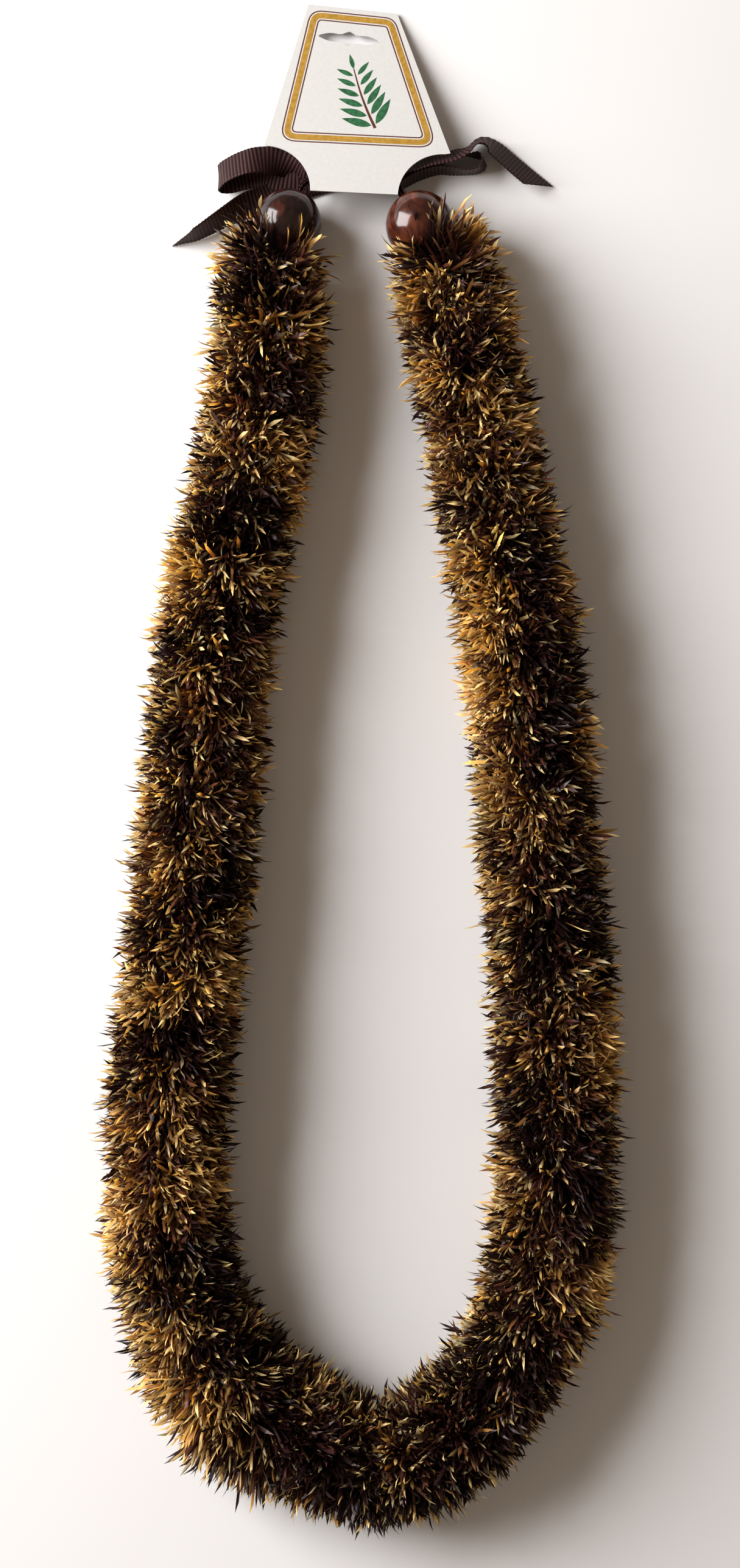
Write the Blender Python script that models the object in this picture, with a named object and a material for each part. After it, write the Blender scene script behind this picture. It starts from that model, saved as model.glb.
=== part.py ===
"""A yarn lei lying flat: a fringed garland closed by two polished nut beads, a ribbon bow and a card.

Metres, +Z up. The surface that the lei lies on is z = 0, the bow and card point along +Y.
"""

import math
import random

import bmesh
import bpy
from mathutils import Matrix, Vector

MM = 0.001

# Clearance between pieces that touch on the real lei
GAP = 0.3 * MM

# The garland's middle line between the beads, from the left one round to the right, in mm
ROUTE_MM = [
    (-33.4, 176.5), (-33.4, 166), (-33.7, 153.5), (-36, 129.5), (-40.5, 105),
    (-46, 81), (-51, 55.5), (-55, 21.5), (-59.5, -22.5), (-64, -68.5), (-68.5, -113),
    (-70.5, -143.5), (-70, -168), (-65, -191), (-53.5, -215), (-34, -235.5), (-12, -249),
    (8, -254), (27, -248), (44.5, -233.5), (58, -211.5), (66, -186.5), (69.5, -157),
    (70.5, -117), (69, -80), (64.5, -31), (59, 26), (52.5, 70), (45, 105.5),
    (38.5, 138.5), (35, 157), (33, 167), (31, 176.6),
]
AXIS_HEIGHT = 16 * MM
RISE_LENGTH = 32 * MM

# The fringe: sleeves of lashes round a base cord
SLEEVES = 14
LASHES_ROUND = 14
LASH_ROWS = 12
CORE_RADIUS = 10 * MM
LASH_REACH_TOP = 20.5 * MM
LASH_REACH_BOTTOM = 24 * MM
LASH_SHORTEST = 0.82
LASH_OVER_BEAD = 11 * MM
REACH_OVER_BEAD = 17 * MM
LASH_FLOOR_SIDE = -0.8
LASH_SHIFT = 0.38
LASH_TURN = 0.3
LOWEST_TIP = 0.4 * MM
FOOT_SHARE = 0.7
FIRST_SEED = 40

# The base cord that the lashes are worked on
CORD_SIDES = 7
CORD_RADIUS = 2.5 * MM
CORD_BORE = CORD_RADIUS + 1.3 * GAP
BORE_ROWS = (0, 4, 8, 12)

# The two drilled beads: middle on the surface in mm, radius, and the bore's lean from +Y
BEADS = {
    "bead_left": ((-26.6, 195.4), 12.1 * MM, -21.2),
    "bead_right": ((21.2, 194.2), 12.5 * MM, 29.2),
}
BEAD_SEGMENTS = 20
BEAD_BORE = 2.15 * MM
BEAD_TO_CORD = 1.1 * MM

# The grosgrain ribbon, flat in the loops and tails and bunched in the leads
RIBBON_WIDTH = 10 * MM
RIBBON_THICKNESS = 0.8 * MM
RIBBON_STEPS = 2
LEFT_END_CUT = -4.6 * MM
RIGHT_END_CUT = -4.2 * MM
LEAD_RADIUS = 1.75 * MM
LEAD_SIDES = 8
KNOT_SIZE = Vector((15, 9.5, 10.5)) * MM
KNOT_BEVEL = 2.2 * MM
KNOT_BEHIND_TAB = (-0.3 * MM, 8.6 * MM)

# The card, in its own plane from the middle of its lower edge, in mm
CARD_FOOT = (-2.75, 205.35)
CARD_FOOT_HEIGHT = 14.7 * MM
CARD_TURN = -2.7
CARD_TILT = -11.4
CARD_THICKNESS = 0.5 * MM
TAB_HALF = 15.9
NOTCH_RADIUS = 16.6
NOTCH_STEPS = 7
WIDE_LEFT = (-33.3, 17)
WIDE_RIGHT = (34.3, 17)
TOP_LEFT = (-20.2, 73.3)
TOP_RIGHT = (12.6, 71.2)
SLOT_MIDDLE = (-4.6, 60.3)
SLOT_TURN = -3.5
SLOT_LENGTH = 22.6
SLOT_WIDTH = 5.2
SLOT_BUMP_RADIUS = 3.9
SLOT_BUMP_RISE = 0.9

for leftover in list(bpy.data.objects):
    bpy.data.objects.remove(leftover, do_unlink=True)


def finish(name, colour, roughness, metallic=0.0):
    """A plain Principled material."""
    material = bpy.data.materials.new(name)
    material.use_nodes = True
    shader = material.node_tree.nodes["Principled BSDF"]
    shader.inputs["Base Color"].default_value = (*colour, 1.0)
    shader.inputs["Roughness"].default_value = roughness
    shader.inputs["Metallic"].default_value = metallic
    return material


def add_object(name, shape, material):
    """Puts a bmesh into the scene as an object with outward faces."""
    bmesh.ops.recalc_face_normals(shape, faces=shape.faces)
    mesh = bpy.data.meshes.new(name)
    shape.to_mesh(mesh)
    shape.free()
    mesh.materials.append(material)
    piece = bpy.data.objects.new(name, mesh)
    bpy.context.scene.collection.objects.link(piece)
    return piece


def curve_through(points, steps):
    """Points on a smooth Catmull-Rom curve, with a number of steps in each span."""
    padded = [2 * points[0] - points[1], *points, 2 * points[-1] - points[-2]]
    smooth = []
    for a, b, c, d in zip(padded, padded[1:], padded[2:], padded[3:]):
        for step in range(steps):
            t = step / steps
            smooth.append(0.5 * (2 * b + (c - a) * t + (2 * a - 5 * b + 4 * c - d) * t ** 2
                                 + (3 * b - a - 3 * c + d) * t ** 3))
    smooth.append(points[-1].copy())
    return smooth


def frame_at(place, along, sideways):
    """A matrix at a place, with local Z along the sweep and local X as near sideways as it goes."""
    z = along.normalized()
    x = (sideways - z * sideways.dot(z)).normalized()
    y = z.cross(x)
    turn = Matrix((x, y, z)).transposed().to_4x4()
    return Matrix.Translation(place) @ turn


def frames_along(places, sideways):
    """A frame at each place, facing along the line through its neighbours."""
    last = len(places) - 1
    return [frame_at(place, places[min(index + 1, last)] - places[max(index - 1, 0)], sideways[index])
            for index, place in enumerate(places)]


def sweep(shape, outline, frames):
    """Carries a closed outline from frame to frame. Gives its rings of edges and rows of faces."""
    corners = [shape.verts.new(frames[0] @ Vector((x, y, 0))) for x, y in outline]
    ring = [shape.edges.new((a, b)) for a, b in zip(corners, corners[1:] + corners[:1])]
    rings = [ring]
    rows = []
    for before, after in zip(frames, frames[1:]):
        grown = bmesh.ops.extrude_edge_only(shape, edges=ring)["geom"]
        fresh = [item for item in grown if isinstance(item, bmesh.types.BMVert)]
        bmesh.ops.transform(shape, matrix=after @ before.inverted(), verts=fresh)
        row = [item for item in grown if isinstance(item, bmesh.types.BMFace)]
        ring = [item for item in grown if isinstance(item, bmesh.types.BMEdge)
                and item.verts[0] in fresh and item.verts[1] in fresh]
        rings.append(ring)
        rows.append(row)
    return rings, rows


def round_outline(radius, sides):
    """The corners of a regular outline whose lowest side lies level, for an upright frame."""
    first = -math.pi / 2 + math.pi / sides
    return [(radius * math.cos(first + 2 * math.pi * side / sides),
             radius * math.sin(first + 2 * math.pi * side / sides)) for side in range(sides)]


class Route:
    """The garland's middle line, measured by its length from the left bead."""

    def __init__(self):
        flat = [Vector((x, y, 0)) * MM for x, y in ROUTE_MM]
        flat = [self.end("bead_left"), *flat, self.end("bead_right")]
        self.points = curve_through(flat, 10)
        self.marks = [0.0]
        for a, b in zip(self.points, self.points[1:]):
            self.marks.append(self.marks[-1] + (b - a).length)
        self.length = self.marks[-1]

    def end(self, bead_name):
        """Where the base cord meets the lead that comes out of a bead."""
        middle, along = bore_axis(bead_name)
        place = middle - along * (BEADS[bead_name][1] + BEAD_TO_CORD)
        return Vector((place.x, place.y, 0))

    def height(self, distance):
        """The line leaves each bead at its bore and rises to the height of the garland."""
        end_height = BEADS["bead_left"][1]
        from_end = distance
        if distance > self.length / 2:
            end_height = BEADS["bead_right"][1]
            from_end = self.length - distance
        rise = min(max(from_end, 0) / RISE_LENGTH, 1)
        return end_height + (AXIS_HEIGHT - end_height) * rise ** 2 * (3 - 2 * rise)

    def place(self, distance):
        span = 0
        while span < len(self.marks) - 2 and self.marks[span + 1] < distance:
            span += 1
        share = (distance - self.marks[span]) / (self.marks[span + 1] - self.marks[span])
        point = self.points[span].lerp(self.points[span + 1], share)
        point.z = self.height(distance)
        return point

    def frame(self, distance):
        """Local Z runs along the garland, local Y points up and local X across."""
        step = 0.5 * MM
        along = self.place(distance + step) - self.place(distance - step)
        along.z = 0
        return frame_at(self.place(distance), along, Vector((0, 0, 1)).cross(along))


def lash_reach(route, distance):
    """Lashes spread wider towards the bottom of the garland."""
    share = math.sin(math.pi * distance / route.length)
    return LASH_REACH_TOP + (LASH_REACH_BOTTOM - LASH_REACH_TOP) * share


def lash_tip(route, chance, start, stop, angle):
    """The tip of one lash, inside the wedge of the cell that it grows from."""
    middle = (start + stop) / 2
    place = middle + chance.uniform(-LASH_SHIFT, LASH_SHIFT) * (stop - start)
    angle += chance.uniform(-LASH_TURN, LASH_TURN) * 2 * math.pi / LASHES_ROUND
    reach = lash_reach(route, middle) * chance.uniform(LASH_SHORTEST, 1)
    if math.sin(angle) > LASH_FLOOR_SIDE and min(start, route.length - stop) < GAP:
        towards_bead = -1 if middle < route.length / 2 else 1
        place = middle + towards_bead * LASH_OVER_BEAD
        reach = REACH_OVER_BEAD
    frame = route.frame(place)
    if math.sin(angle) < 0:
        reach = min(reach, (frame.translation.z - LOWEST_TIP) / -math.sin(angle))
    return frame @ Vector((reach * math.cos(angle), reach * math.sin(angle), 0))


def press_flat(shape, face):
    """A tuft that the garland's weight has pressed into a small flat foot."""
    foot = bmesh.ops.extrude_discrete_faces(shape, faces=[face])["faces"][0]
    middle = foot.calc_center_median()
    for corner in foot.verts:
        corner.co = middle.lerp(corner.co, FOOT_SHARE)
        corner.co.z = 0


def fringe_sleeve(route, number, material):
    """One length of fringe: a worked core with a bore for the base cord, and its lashes."""
    chance = random.Random(FIRST_SEED + number)
    pitch = route.length / SLEEVES
    start = number * pitch + (GAP / 2 if number else 0)
    stop = (number + 1) * pitch - (GAP / 2 if number < SLEEVES - 1 else 0)
    marks = [start + (stop - start) * row / LASH_ROWS for row in range(LASH_ROWS + 1)]
    frames = [route.frame(mark) for mark in marks]
    shape = bmesh.new()
    skin, rows = sweep(shape, round_outline(CORE_RADIUS, LASHES_ROUND), frames)
    bore, _ = sweep(shape, round_outline(CORD_BORE, CORD_SIDES), [frames[row] for row in BORE_ROWS])
    bmesh.ops.triangle_fill(shape, edges=skin[0] + bore[0], use_beauty=True)
    bmesh.ops.triangle_fill(shape, edges=skin[-1] + bore[-1], use_beauty=True)
    for index, row in enumerate(rows):
        into_frame = route.frame((marks[index] + marks[index + 1]) / 2).inverted()
        cells = []
        for face in row:
            local = into_frame @ face.calc_center_median()
            cells.append((math.atan2(local.y, local.x), face))
        for angle, face in sorted(cells, key=lambda cell: cell[0]):
            if index == LASH_ROWS // 2 and math.sin(angle) < -0.99:
                press_flat(shape, face)
                continue
            tip = bmesh.ops.poke(shape, faces=[face])["verts"][0]
            tip.co = lash_tip(route, chance, marks[index], marks[index + 1], angle)
    return add_object(f"fringe_{number + 1:02d}", shape, material)


def base_cord(route, material):
    """The cord inside the fringe, with a ring at every ring of the sleeves' bores."""
    pitch = route.length / SLEEVES
    marks = [number * pitch + pitch * row / LASH_ROWS
             for number in range(SLEEVES) for row in BORE_ROWS[:-1]]
    marks.append(route.length)
    shape = bmesh.new()
    rings, _ = sweep(shape, round_outline(CORD_RADIUS, CORD_SIDES), [route.frame(m) for m in marks])
    bmesh.ops.edgeloop_fill(shape, edges=rings[0])
    bmesh.ops.edgeloop_fill(shape, edges=rings[-1])
    return add_object("base_cord", shape, material)


def bore_axis(name):
    """A bead's middle and the direction of its bore, towards the bow."""
    (x, y), radius, lean = BEADS[name]
    turn = math.radians(lean)
    return Vector((x * MM, y * MM, radius)), Vector((-math.sin(turn), math.cos(turn), 0))


def drilled_bead(name, material):
    """A round nut, turned from its half outline, with its bore through it."""
    middle, along = bore_axis(name)
    radius = BEADS[name][1]
    shape = bmesh.new()
    mouth = math.asin(BEAD_BORE / radius)
    half_steps = BEAD_SEGMENTS // 2
    profile = []
    for step in range(half_steps + 1):
        angle = mouth + (math.pi - 2 * mouth) * step / half_steps
        profile.append(shape.verts.new((radius * math.sin(angle), 0, radius * math.cos(angle))))
    edges = [shape.edges.new(pair) for pair in zip(profile, profile[1:] + profile[:1])]
    bmesh.ops.spin(shape, geom=profile + edges, cent=(0, 0, 0), axis=(0, 0, 1),
                   angle=2 * math.pi, steps=BEAD_SEGMENTS, use_merge=True)
    bmesh.ops.transform(shape, matrix=frame_at(middle, along, Vector((0, 0, 1))), verts=shape.verts)
    lowest = min(corner.co.z for corner in shape.verts)
    bmesh.ops.translate(shape, vec=(0, 0, -lowest), verts=shape.verts)
    bead = add_object(name, shape, material)
    bead.data.shade_smooth()
    bead.data.set_sharp_from_angle(angle=math.radians(40))
    return bead


def strip(name, stations, end_cut, material):
    """A stretch of flat ribbon. A station is x, y, z in mm, then its width's heading and tilt."""
    places = curve_through([Vector(station[:3]) * MM for station in stations], RIBBON_STEPS)
    widths = []
    for station in stations:
        heading = math.radians(station[3])
        tilt = math.radians(station[4])
        widths.append(Vector((math.cos(heading) * math.cos(tilt),
                              math.sin(heading) * math.cos(tilt), math.sin(tilt))))
    frames = frames_along(places, curve_through(widths, RIBBON_STEPS))
    half_width = RIBBON_WIDTH / 2
    half_thickness = RIBBON_THICKNESS / 2
    outline = [(-half_width, -half_thickness), (half_width, -half_thickness),
               (half_width, half_thickness), (-half_width, half_thickness)]
    shape = bmesh.new()
    rings, _ = sweep(shape, outline, frames)
    end = frames[-1]
    for corner in {corner for edge in rings[-1] for corner in edge.verts}:
        across = (end.inverted() @ corner.co).x
        corner.co += end.to_3x3() @ Vector((0, 0, end_cut * across / half_width))
    bmesh.ops.edgeloop_fill(shape, edges=rings[0])
    bmesh.ops.edgeloop_fill(shape, edges=rings[-1])
    return add_object(name, shape, material)


def lead(name, bead_name, points, material):
    """The ribbon bunched into a round lead, from the base cord's end through a bead to the knot."""
    middle, along = bore_axis(bead_name)
    radius = BEADS[bead_name][1]
    start = middle - along * (radius + BEAD_TO_CORD - GAP)
    stations = [start, middle, middle + along * radius]
    stations += [Vector(point) * MM for point in points]
    places = curve_through(stations, RIBBON_STEPS)
    frames = frames_along(places, [Vector((0, 0, 1))] * len(places))
    shape = bmesh.new()
    rings, _ = sweep(shape, round_outline(LEAD_RADIUS, LEAD_SIDES), frames)
    bmesh.ops.edgeloop_fill(shape, edges=rings[0])
    bmesh.ops.edgeloop_fill(shape, edges=rings[-1])
    return add_object(name, shape, material)


def card_frame():
    """The card's plane: local X across it, local Y up it, and its back face at local z = 0."""
    turn = Matrix.Rotation(math.radians(CARD_TURN), 4, "Z")
    tilt = Matrix.Rotation(math.radians(CARD_TILT), 4, "X")
    foot = Vector((CARD_FOOT[0] * MM, CARD_FOOT[1] * MM, CARD_FOOT_HEIGHT))
    return Matrix.Translation(foot) @ turn @ tilt


def knot(material):
    """The bow's knot, a rounded cushion whose top lies just under the card's tab."""
    shape = bmesh.new()
    bmesh.ops.create_cube(shape, size=1, matrix=Matrix.Diagonal((*KNOT_SIZE, 1)))
    bmesh.ops.bevel(shape, geom=shape.edges[:], offset=KNOT_BEVEL, offset_type="OFFSET", segments=2,
                    profile=0.5, affect="EDGES", material=-1)
    place = card_frame() @ Matrix.Translation((*KNOT_BEHIND_TAB, -GAP - KNOT_SIZE.z / 2))
    bmesh.ops.transform(shape, matrix=place, verts=shape.verts)
    return add_object("ribbon_bow", shape, material)


def ribbon_bow(material):
    """Knot, two loops, two cut tails and two bunched leads, tied from one length of ribbon."""
    bow = knot(material)
    pieces = [
        strip("left_loop", [
            (-8, 212.4, 7, 90, 78), (-15.5, 211, 7, 84, 76), (-20.8, 212.8, 7.2, 52, 70),
            (-24.3, 216, 7.2, 60, 52), (-29.5, 218.2, 7.6, 78, 26), (-36.4, 218.3, 8.8, 92, 6),
            (-43.5, 217, 9.2, 97, 0), (-48.9, 215.2, 8.4, 100, 0), (-52.4, 213.8, 6.6, 100, 0),
            (-53, 213, 4, 100, 0), (-50.6, 212.8, 2, 99, 0), (-44, 213.6, 1.7, 96, 0),
            (-36, 213.6, 2.2, 92, 4), (-26, 212.6, 3.8, 88, 20), (-16, 212.2, 5, 88, 45),
            (-8, 212.4, 6, 90, 60),
        ], 0, material),
        strip("left_tail", [
            (-7, 212.2, 4.6, 98, 60), (-14, 211.8, 4.4, 100, 48), (-21, 211, 3.2, 106, 26),
            (-30, 209.2, 2, 112, 5), (-41.2, 205.6, 2, 116, 4), (-48, 201.6, 3, 120, 24),
            (-55.6, 196.6, 4.6, 122, 50), (-61, 193.4, 5.2, 124, 64), (-64.6, 191.4, 5.2, 124, 66),
        ], LEFT_END_CUT, material),
        strip("right_loop", [
            (3, 212.4, 7.4, 90, 78), (11.5, 211.6, 7.2, 96, 76), (15.4, 213.4, 6.8, 128, 70),
            (18.6, 217.2, 6.4, 122, 60), (24, 219.6, 5.6, 108, 56), (30.5, 220.4, 5.2, 98, 64),
            (37, 221, 5.2, 92, 72), (42.6, 220.8, 5.3, 70, 72), (45.2, 218.4, 5.4, 10, 64),
            (43.6, 215.8, 5.4, -60, 70), (39.5, 215, 5.4, -86, 80), (34, 215.3, 5.4, -82, 84),
            (28, 214.4, 5.4, -72, 92), (21, 212.6, 5.6, -72, 96), (13, 211.6, 6, -80, 94),
            (4, 212.2, 6.2, -88, 88),
        ], 0, material),
        strip("right_tail", [
            (3, 212.4, 5.6, 104, 74), (11, 213.6, 5.4, 110, 72), (20, 216.8, 5.2, 114, 70),
            (28, 219.8, 5.2, 112, 70), (33, 221.4, 5.3, 112, 69), (37, 223, 5.5, 116, 70),
            (41, 225.2, 5.6, 108, 88), (45.5, 226, 5.7, 84, 112), (49.4, 224.2, 5.2, 60, 126),
            (53.7, 220.2, 4.6, 48, 134), (59.2, 215.6, 4.2, 50, 136), (64.6, 211.6, 4.1, 53, 136),
        ], RIGHT_END_CUT, material),
        lead("left_lead", "bead_left", [(-19.4, 210, 11), (-14, 212, 9.4), (-8, 212.6, 8.6)],
             material),
        lead("right_lead", "bead_right", [(12.4, 208.8, 11.2), (8, 211.4, 9.6), (2, 212.6, 8.6)],
             material),
    ]
    gathered = bpy.data.collections.new("bow_pieces")
    for piece in pieces:
        gathered.objects.link(piece)
    union = bow.modifiers.new("tie", "BOOLEAN")
    union.operation = "UNION"
    union.operand_type = "COLLECTION"
    union.collection = gathered
    union.solver = "MANIFOLD"
    evaluated = bow.evaluated_get(bpy.context.evaluated_depsgraph_get())
    tied = bpy.data.meshes.new_from_object(evaluated)
    bow.modifiers.clear()
    bow.data = tied
    for piece in pieces:
        bpy.data.objects.remove(piece, do_unlink=True)
    bpy.data.collections.remove(gathered)
    return bow


def plate(outline, low, high):
    """A flat outline in mm, given its thickness between two heights."""
    shape = bmesh.new()
    base = shape.faces.new([shape.verts.new((x * MM, y * MM, low)) for x, y in outline])
    raised = bmesh.ops.extrude_face_region(shape, geom=[base])["geom"]
    top = [item for item in raised if isinstance(item, bmesh.types.BMVert)]
    bmesh.ops.translate(shape, vec=(0, 0, high - low), verts=top)
    return shape


def cutter(name, outline, material):
    """A prism right through the card, hidden from the model."""
    guide = add_object(name, plate(outline, -4 * CARD_THICKNESS, 5 * CARD_THICKNESS), material)
    guide.hide_render = True
    guide.display_type = "WIRE"
    return guide


def arc(middle, radius, first, last, steps):
    """Points on a circle from one angle to another, in degrees."""
    points = []
    for step in range(steps + 1):
        angle = math.radians(first + (last - first) * step / steps)
        points.append((middle[0] + radius * math.cos(angle), middle[1] + radius * math.sin(angle)))
    return points


def card(material):
    """A stiff paper card: a narrow tab between two round notches, flared, with a hanging slot."""
    notch_x = TAB_HALF + NOTCH_RADIUS
    outline = arc((-notch_x, 0), NOTCH_RADIUS, 90, 0, NOTCH_STEPS)
    outline += arc((notch_x, 0), NOTCH_RADIUS, 180, 90, NOTCH_STEPS)
    outline += [WIDE_RIGHT, TOP_RIGHT, TOP_LEFT, WIDE_LEFT]
    piece = add_object("card", plate(outline, 0, CARD_THICKNESS), material)
    end_x = (SLOT_LENGTH - SLOT_WIDTH) / 2
    long_hole = arc((end_x, 0), SLOT_WIDTH / 2, -90, 90, 6)
    long_hole += arc((-end_x, 0), SLOT_WIDTH / 2, 90, 270, 6)
    bump = arc((0, SLOT_BUMP_RISE), SLOT_BUMP_RADIUS, 0, 330, 11)
    for name, hole in (("slot_cut", long_hole), ("bump_cut", bump)):
        guide = cutter(name, hole, material)
        local = Matrix.Rotation(math.radians(SLOT_TURN), 4, "Z")
        local.translation = Vector((SLOT_MIDDLE[0] * MM, SLOT_MIDDLE[1] * MM, 0))
        guide.matrix_world = card_frame() @ local
        cut = piece.modifiers.new(name, "BOOLEAN")
        cut.operation = "DIFFERENCE"
        cut.object = guide
        cut.solver = "EXACT"
    piece.matrix_world = card_frame()
    return piece


fringe_yarn = finish("fringe_yarn", (0.16, 0.07, 0.03), 0.45)
cord_yarn = finish("cord_yarn", (0.05, 0.02, 0.012), 0.8)
nut_left = finish("nut_left", (0.03, 0.01, 0.007), 0.12)
nut_right = finish("nut_right", (0.13, 0.025, 0.012), 0.12)
grosgrain = finish("grosgrain", (0.03, 0.015, 0.016), 0.7)
paper = finish("paper", (0.85, 0.84, 0.8), 0.6)

garland = Route()
for sleeve_number in range(SLEEVES):
    fringe_sleeve(garland, sleeve_number, fringe_yarn)
base_cord(garland, cord_yarn)
drilled_bead("bead_left", nut_left)
drilled_bead("bead_right", nut_right)
ribbon_bow(grosgrain)
card(paper)
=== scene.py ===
"""The finished look of a yarn lei lying flat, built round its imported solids.

Metres, +Z up. The lei lies on z = 0, and its beads, bow and card point along +Y.
"""

import math

import bmesh
import bpy
import numpy as np
from mathutils import Matrix, Vector, noise


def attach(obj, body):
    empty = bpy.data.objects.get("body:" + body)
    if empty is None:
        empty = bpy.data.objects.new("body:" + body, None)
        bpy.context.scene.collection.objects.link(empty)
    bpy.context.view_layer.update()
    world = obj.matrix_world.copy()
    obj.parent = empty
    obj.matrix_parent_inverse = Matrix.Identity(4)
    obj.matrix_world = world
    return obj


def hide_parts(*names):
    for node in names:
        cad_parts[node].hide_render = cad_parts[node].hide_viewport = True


MM = 0.001

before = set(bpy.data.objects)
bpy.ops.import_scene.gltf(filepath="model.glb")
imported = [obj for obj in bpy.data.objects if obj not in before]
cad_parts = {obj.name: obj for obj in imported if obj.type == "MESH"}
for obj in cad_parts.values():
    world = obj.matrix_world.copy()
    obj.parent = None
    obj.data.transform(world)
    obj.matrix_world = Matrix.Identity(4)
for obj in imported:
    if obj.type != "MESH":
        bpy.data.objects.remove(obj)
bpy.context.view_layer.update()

# The camera hangs straight over the lei and looks down, as the photograph does. Its lens makes a
# step of 0.22 mm at the beads' height one pixel of the 1215 by 2576 frame.
CAMERA_PLACE = (3.08 * MM, -8.8 * MM, 0.9)
PIXEL_SIZE = 0.22 * MM
PIXEL_HEIGHT = 17 * MM
FRAME_ROWS = 2576
SENSOR = 36

frame_height = FRAME_ROWS * PIXEL_SIZE * CAMERA_PLACE[2] / (CAMERA_PLACE[2] - PIXEL_HEIGHT)
camera_data = bpy.data.cameras.new("overhead_camera")
camera_data.sensor_width = SENSOR
camera_data.lens = SENSOR * CAMERA_PLACE[2] / frame_height
camera = bpy.data.objects.new("overhead_camera", camera_data)
camera.location = CAMERA_PLACE
bpy.context.scene.collection.objects.link(camera)
bpy.context.scene.camera = camera


# The fringe is eyelash yarn worked round one long cord: flat shiny lashes in tufts, dyed in turns
# of near black, red-brown, amber and gold. Each of its 14 sleeves has a stitched core, and the
# lashes under it are pressed by the lei's weight.
ROUTE_MM = [
    (-33.4, 176.5), (-33.4, 166), (-33.7, 153.5), (-36, 129.5), (-40.5, 105),
    (-46, 81), (-51, 55.5), (-55, 21.5), (-59.5, -22.5), (-64, -68.5), (-68.5, -113),
    (-70.5, -143.5), (-70, -168), (-65, -191), (-53.5, -215), (-34, -235.5), (-12, -249),
    (8, -254), (27, -248), (44.5, -233.5), (58, -211.5), (66, -186.5), (69.5, -157),
    (70.5, -117), (69, -80), (64.5, -31), (59, 26), (52.5, 70), (45, 105.5),
    (38.5, 138.5), (35, 157), (33, 167), (31, 176.6),
]
BEADS = {
    "bead_left": ((-26.6, 195.4), 12.1 * MM, -21.2),
    "bead_right": ((21.2, 194.2), 12.5 * MM, 29.2),
}
BEAD_TO_CORD = 1.1 * MM
AXIS_HEIGHT = 16 * MM
RISE_LENGTH = 32 * MM
ROUTE_STEPS = 20

SLEEVES = 14
SLEEVE_GAP = 0.3 * MM
TUFT_ROWS = 20
TUFTS_ROUND = 28
TUFT_LASHES = 8
ROOT_RADIUS = 6 * MM
ROOT_SCATTER = 0.45
ROOT_DRIFT = 0.8 * MM
ROOT_TURN = 0.1
REACH_TOP = 20.5 * MM
REACH_BOTTOM = 23.4 * MM
SWEPT = (((-46, -226), 0.46), ((52, -222), -0.15))
SWEPT_SIZE = 24 * MM
FULLNESS = 0.13
FULLNESS_WAVE = 15 * MM
FULLNESS_ROUND = 0.7
FULLNESS_SPOT = Vector((0, 0, 9))
LASH_WIDTH = (0.85 * MM, 1.8 * MM)
LOWEST_LASH = 0.3 * MM
PRESSED_DEPTH = 2.2 * MM

# How far the lashes lean from straight out, and how their lengths vary. The two leans hold a
# tuft's spread first and a single lash's second, and the two reaches are each a range.
BRUSHED = 0.38
BRUSH_TURN = 0.1
BEAD_SPRAY = 7 * MM
LEAN_ALONG = (0.42, 0.18)
LEAN_ROUND = (0.34, 0.16)
ASTRAY_SHARE = 0.06
ASTRAY_LEAN = 0.6
SLANT_LIMIT = 1.2
SLANT_GAIN = 0.7
ROLL_SPREAD = 0.7
TUFT_REACH = (0.93, 1.02)
LASH_REACH = (0.88, 1.02)

# Dye and gold tips each have a weight for bands, clumps, left flanks, both flanks, bead ends and
# the closed curve, and then a tuft's spread and a single lash's. The left-flank and both-flank
# weights are painted light, and the closed-curve weight is painted shade.
DYE_BAND = 13 * MM
DYE_CLUMP = 5 * MM
DYE_BASE = 0.39
DYE_AND_LIGHT_WEIGHTS = (0.9, 0.4, 0.1, 0.02, 0.14, -0.13)
DYE_SPREAD = (0.06, 0.09)
GILT_BASE = 0.19
GILT_AND_GLOW_WEIGHTS = (0.36, 0, 0.06, 0.25, 0.15, -0.04)
GILT_SPREAD = (0.1, 0.2)

LASH_BLANKS = 12
BLANK_STATIONS = (0.42, 0.9)
BLANK_WIDTHS = (0.42, 0.47)
BLANK_THICKNESS = 0.4
BLANK_TWIST = 1.0
BLANK_BOW = (2.5, 7.5)
BLANK_BOW_POWER = 2.2
BLANK_WAVE = 2
BLANK_SEED = 5
SLEEVE_SEED = 100

CORE_SIDES = 12
CORE_BORE = 3.2 * MM
CORE_LOOK = 0.3
STITCH_PITCH = 4.4 * MM
STITCH_STEPS = 4
STITCH_RISE = 0.6 * MM
STITCH_RIDGE = 0.9 * MM


def curve_through(points, steps):
    """Points on a smooth Catmull-Rom curve through rows of numbers, steps to a span."""
    points = np.array(points, float)
    padded = np.vstack((2 * points[:1] - points[1:2], points, 2 * points[-1:] - points[-2:-1]))
    a, b, c, d = (padded[start:start + len(points) - 1, None] for start in range(4))
    t = (np.arange(steps) / steps)[None, :, None]
    smooth = 0.5 * (2 * b + (c - a) * t + (2 * a - 5 * b + 4 * c - d) * t ** 2
                    + (3 * b - a - 3 * c + d) * t ** 3)
    return np.vstack((smooth.reshape(-1, points.shape[1]), points[-1:]))


def marks_along(line):
    """How far along a line each of its points is."""
    return np.concatenate(([0], np.cumsum(np.linalg.norm(np.diff(line, axis=0), axis=1))))


def read_along(distance, marks, values):
    """Values at any distance along a line, between those at its marks."""
    return np.stack([np.interp(distance, marks, column) for column in values.T], axis=-1)


def unit(vectors):
    """Vectors scaled to a length of one."""
    return vectors / np.linalg.norm(vectors, axis=-1, keepdims=True)


def bore_axis(bead_name):
    """A bead's middle and the direction of its bore, towards the bow."""
    (x, y), radius, lean = BEADS[bead_name]
    turn = math.radians(lean)
    return np.array((x * MM, y * MM, radius)), np.array((-math.sin(turn), math.cos(turn), 0))


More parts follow.
